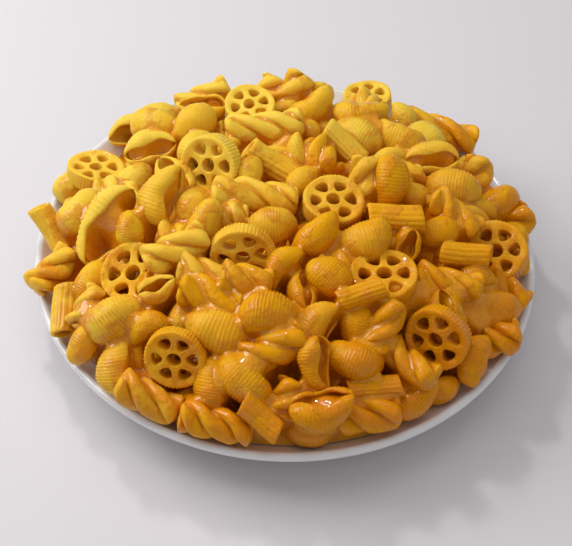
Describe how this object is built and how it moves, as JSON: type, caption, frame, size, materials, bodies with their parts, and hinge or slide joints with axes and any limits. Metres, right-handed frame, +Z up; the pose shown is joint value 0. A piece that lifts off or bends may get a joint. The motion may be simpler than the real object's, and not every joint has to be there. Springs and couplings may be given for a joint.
{
  "type": "mac and cheese",
  "caption": "Heap of mixed pasta in orange cheese sauce, with wagon wheels, ridged shells, spirals and short tubes, on a round white rimless plate that stands on a table.",
  "frame": {"origin": "on the table, under the middle of the plate's foot ring", "axes": "+Z up, -Y towards the diner, +X to the diner's right"},
  "size_m": [0.2272, 0.225, 0.076],
  "materials": {
    "glazed_white": "smooth white glaze, glossy",
    "cheesy_pasta": "cooked pasta, golden yellow, wet with orange cheese sauce"
  },
  "bodies": {
    "root": {"plate": "glazed_white", "pasta_heap": "cheesy_pasta"}
  },
  "joints": []
}
